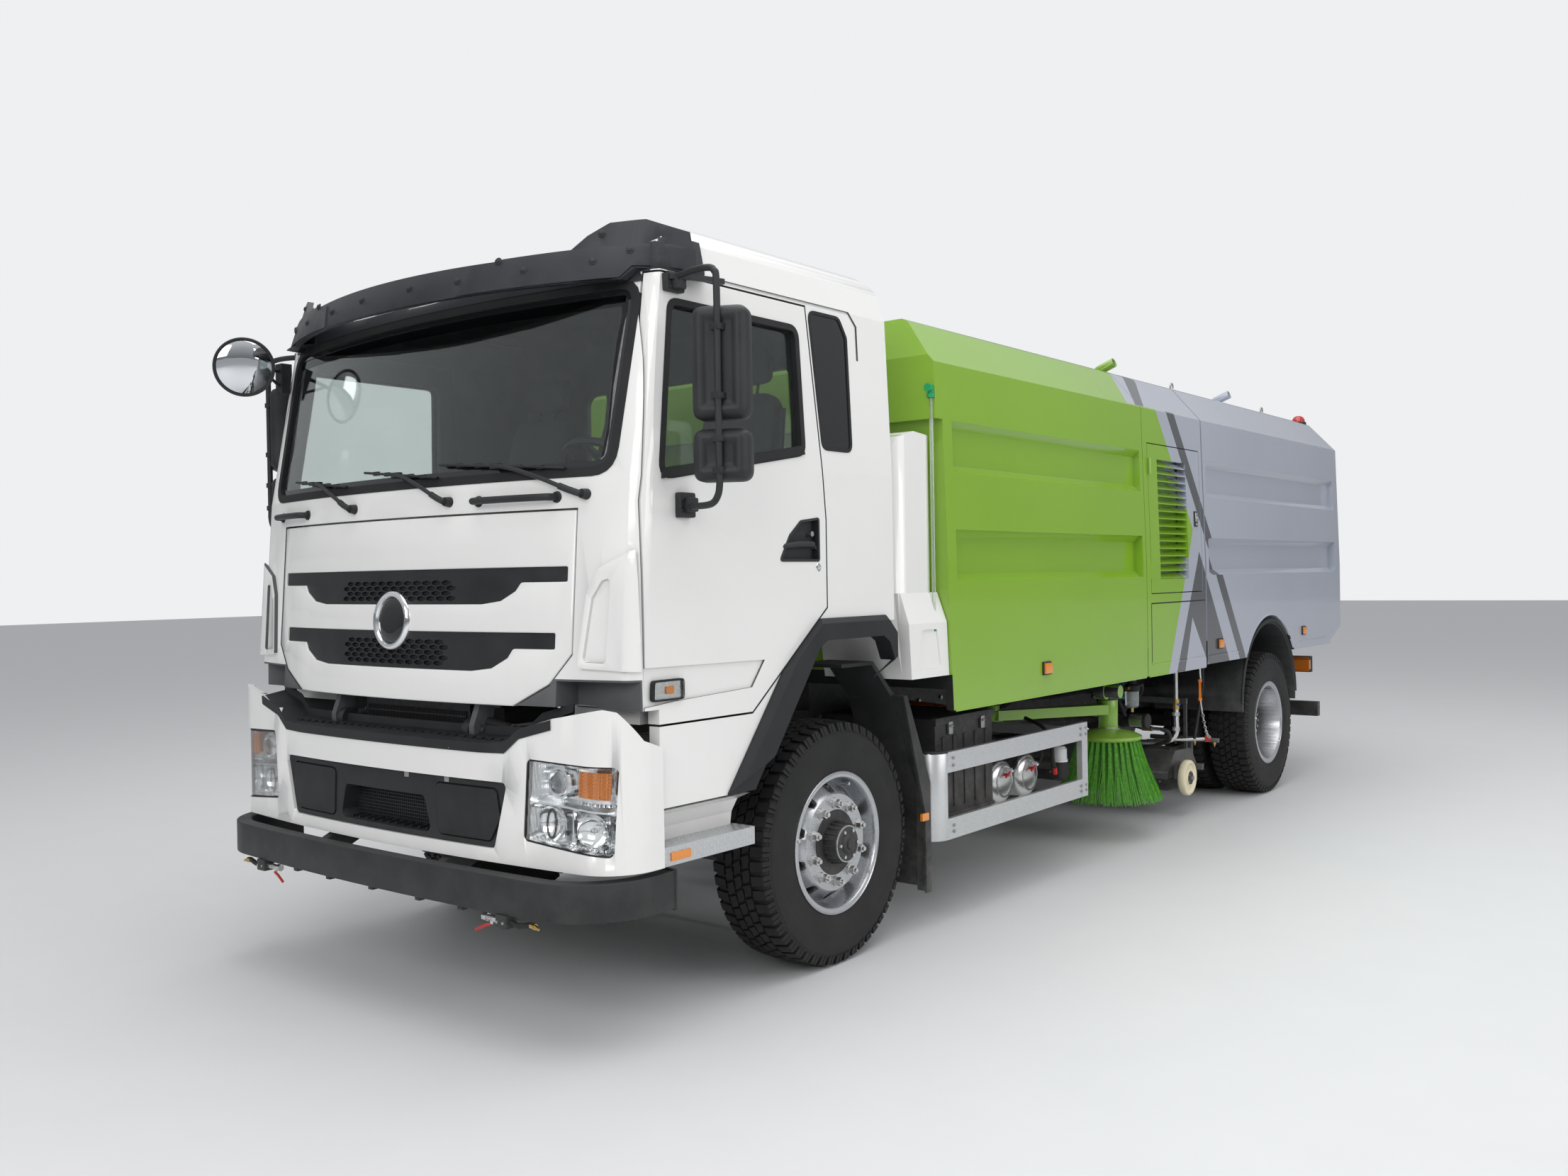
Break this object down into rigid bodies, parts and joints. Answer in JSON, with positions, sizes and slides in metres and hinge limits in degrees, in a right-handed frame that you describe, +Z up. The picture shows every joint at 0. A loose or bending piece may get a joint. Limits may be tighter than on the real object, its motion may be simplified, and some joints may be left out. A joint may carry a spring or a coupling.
{
  "type": "street sweeper truck",
  "caption": "Two-axle street sweeper truck with tilting cab, water tank, tipping debris tank, side brushes, suction nozzle and front spray bar.",
  "frame": {"origin": "on the ground under the middle of the truck", "axes": "+Y rearwards along the truck, +X to the driver (left) side, +Z up; the truck faces -Y"},
  "size_m": [3.09, 8.6508, 3.035],
  "materials": {
    "cab_white": "gloss warm white paint",
    "lime_paint": "gloss lime green paint",
    "grey_paint": "gloss silver grey paint",
    "chassis_black": "satin black chassis paint",
    "black_plastic": "grained black plastic",
    "dark_plastic": "dark grey plastic",
    "tyre_rubber": "black tyre rubber",
    "wheel_silver": "silver wheel paint",
    "screen_glass": "tinted glass",
    "lamp_lens": "clear lens",
    "tail_lens": "red lens",
    "guard_aluminium": "brushed aluminium",
    "tank_steel": "brushed stainless steel",
    "seat_fabric": "dark grey cloth",
    "bristle": "green bristle",
    "caster_cream": "cream polyurethane",
    "rod_chrome": "polished rod",
    "cast_black": "dark cast iron"
  },
  "bodies": {
    "chassis": {"frame_rails": "chassis_black", "front_axle": "cast_black", "rear_axle": "cast_black", "leaf_springs": "chassis_black", "drive_motor": "cast_black", "battery_boxes": "chassis_black", "air_tanks": "tank_steel", "cooling_pack": "cast_black", "front_bumper": "cab_white", "bumper_insert": "black_plastic", "headlamps": "lamp_lens", "front_spray_bar": "chassis_black", "side_guards": "guard_aluminium", "wheel_guards": "black_plastic", "entry_steps": "cab_white", "tank_fairings": "cab_white", "water_tank": "lime_paint", "fan_compartment": "grey_paint", "suction_nozzle": "chassis_black", "rear_bumper": "chassis_black", "tail_lamps": "tail_lens"},
    "cab": {"cab_shell": "cab_white", "cab_glass": "screen_glass", "sun_visor": "dark_plastic", "seats": "seat_fabric", "dashboard": "dark_plastic", "wheel_flares": "dark_plastic", "wipers": "black_plastic", "front_mirror": "black_plastic"},
    "front_flap": {"front_flap": "cab_white", "grille": "black_plastic"},
    "hopper": {"debris_tank": "grey_paint"},
    "tail_door": {"tail_door": "grey_paint"},
    "lift_barrels": {"lift_barrels": "chassis_black"},
    "lift_rods": {"lift_rods": "rod_chrome"},
    "tie_rod": {"tie_rod": "cast_black"},
    "cab_door_left": {"door_left": "cab_white", "door_glass_left": "screen_glass", "mirror_left": "black_plastic"},
    "louvre_door_left": {"louvre_door_left": "lime_paint"},
    "brush_arm_left": {"brush_arm_left": "lime_paint"},
    "brush_left": {"brush_left": "bristle"},
    "caster_left": {"caster_left": "caster_cream"},
    "knuckle_left": {"knuckle_left": "cast_black"},
    "front_wheel_left": {"rim_front_left": "wheel_silver", "tyre_front_left": "tyre_rubber"},
    "rear_wheels_left": {"rim_rear_left": "wheel_silver", "tyre_rear_left": "tyre_rubber"},
    "cab_door_right": {"door_right": "cab_white", "door_glass_right": "screen_glass", "mirror_right": "black_plastic"},
    "louvre_door_right": {"louvre_door_right": "lime_paint"},
    "brush_arm_right": {"brush_arm_right": "lime_paint"},
    "brush_right": {"brush_right": "bristle"},
    "caster_right": {"caster_right": "caster_cream"},
    "knuckle_right": {"knuckle_right": "cast_black"},
    "front_wheel_right": {"rim_front_right": "wheel_silver", "tyre_front_right": "tyre_rubber"},
    "rear_wheels_right": {"rim_rear_right": "wheel_silver", "tyre_rear_right": "tyre_rubber"}
  },
  "joints": [
    {"name": "cab_tilt", "type": "hinge", "parent": "chassis", "child": "cab", "pos_m": [0, -4.11, 1.1], "axis": [1, 0, 0], "range_deg": [0, 45]},
    {"name": "front_flap_hinge", "type": "hinge", "parent": "cab", "child": "front_flap", "pos_m": [0, -4.1502, 1.9215], "axis": [-1, 0, 0], "range_deg": [0, 75]},
    {"name": "hopper_dump", "type": "hinge", "parent": "chassis", "child": "hopper", "pos_m": [0, 4.08, 0.99], "axis": [-1, 0, 0], "range_deg": [0, 45]},
    {"name": "tail_door_hinge", "type": "hinge", "parent": "hopper", "child": "tail_door", "pos_m": [0, 4.233, 2.89], "axis": [1, 0, 0], "range_deg": [0, 80]},
    {"name": "lift_barrel_turn", "type": "hinge", "parent": "chassis", "child": "lift_barrels", "pos_m": [0, 1.28, 0.7], "axis": [1, 0, 0], "range_deg": [0, 23.4]},
    {"name": "lift_rod_slide", "type": "slide", "parent": "lift_barrels", "child": "lift_rods", "axis": [0, 0.9628, 0.2703], "range_m": [0, 0.946]},
    {"name": "tie_rod_joint", "type": "hinge", "parent": "knuckle_left", "child": "tie_rod", "pos_m": [0.86, -2.56, 0.368], "axis": [0, 0, 1], "range_deg": [-39, 39]},
    {"name": "steer_left", "type": "hinge", "parent": "chassis", "child": "knuckle_left", "pos_m": [0.86, -2.77, 0.522], "axis": [0, 0, 1], "range_deg": [-38, 38]},
    {"name": "front_wheel_spin_left", "type": "hinge", "parent": "knuckle_left", "child": "front_wheel_left", "pos_m": [1.024, -2.77, 0.522], "axis": [1, 0, 0], "continuous": true},
    {"name": "rear_wheel_spin_left", "type": "hinge", "parent": "chassis", "child": "rear_wheels_left", "pos_m": [0.935, 2.53, 0.522], "axis": [1, 0, 0], "continuous": true},
    {"name": "cab_door_hinge_left", "type": "hinge", "parent": "cab", "child": "cab_door_left", "pos_m": [1.226, -4.002, 1.9], "axis": [0, 0, -1], "range_deg": [0, 70]},
    {"name": "louvre_door_hinge_left", "type": "hinge", "parent": "chassis", "child": "louvre_door_left", "pos_m": [1.268, 0.337, 1.98], "axis": [0, 0, -1], "range_deg": [0, 100]},
    {"name": "brush_arm_swing_left", "type": "hinge", "parent": "chassis", "child": "brush_arm_left", "pos_m": [0.505, -0.29, 0.8], "axis": [0, 0, -1], "range_deg": [0, 30]},
    {"name": "brush_spin_left", "type": "hinge", "parent": "brush_arm_left", "child": "brush_left", "pos_m": [0.95, 0.38, 0.64], "axis": [0, 0, 1], "continuous": true},
    {"name": "caster_spin_left", "type": "hinge", "parent": "chassis", "child": "caster_left", "pos_m": [1.105, 1.27, 0.264], "axis": [1, 0, 0], "continuous": true},
    {"name": "steer_right", "type": "hinge", "parent": "chassis", "child": "knuckle_right", "pos_m": [-0.86, -2.77, 0.522], "axis": [0, 0, 1], "range_deg": [-39, 39]},
    {"name": "front_wheel_spin_right", "type": "hinge", "parent": "knuckle_right", "child": "front_wheel_right", "pos_m": [-1.024, -2.77, 0.522], "axis": [1, 0, 0], "continuous": true},
    {"name": "rear_wheel_spin_right", "type": "hinge", "parent": "chassis", "child": "rear_wheels_right", "pos_m": [-0.935, 2.53, 0.522], "axis": [1, 0, 0], "continuous": true},
    {"name": "cab_door_hinge_right", "type": "hinge", "parent": "cab", "child": "cab_door_right", "pos_m": [-1.226, -4.002, 1.9], "axis": [0, 0, 1], "range_deg": [0, 70]},
    {"name": "louvre_door_hinge_right", "type": "hinge", "parent": "chassis", "child": "louvre_door_right", "pos_m": [-1.268, 0.337, 1.98], "axis": [0, 0, 1], "range_deg": [0, 100]},
    {"name": "brush_arm_swing_right", "type": "hinge", "parent": "chassis", "child": "brush_arm_right", "pos_m": [-0.505, -0.29, 0.8], "axis": [0, 0, 1], "range_deg": [0, 30]},
    {"name": "brush_spin_right", "type": "hinge", "parent": "brush_arm_right", "child": "brush_right", "pos_m": [-0.95, 0.38, 0.64], "axis": [0, 0, 1], "continuous": true},
    {"name": "caster_spin_right", "type": "hinge", "parent": "chassis", "child": "caster_right", "pos_m": [-1.105, 1.27, 0.264], "axis": [1, 0, 0], "continuous": true}
  ],
  "couplings": [
    {"joint": "steer_right", "follows": "steer_left", "ratio": 1},
    {"joint": "tie_rod_joint", "follows": "steer_left", "ratio": -1},
    {"joint": "lift_barrel_turn", "follows": "hopper_dump", "ratio": 0.4974},
    {"joint": "lift_rod_slide", "follows": "hopper_dump", "m_per_rad": 1.1795}
  ]
}
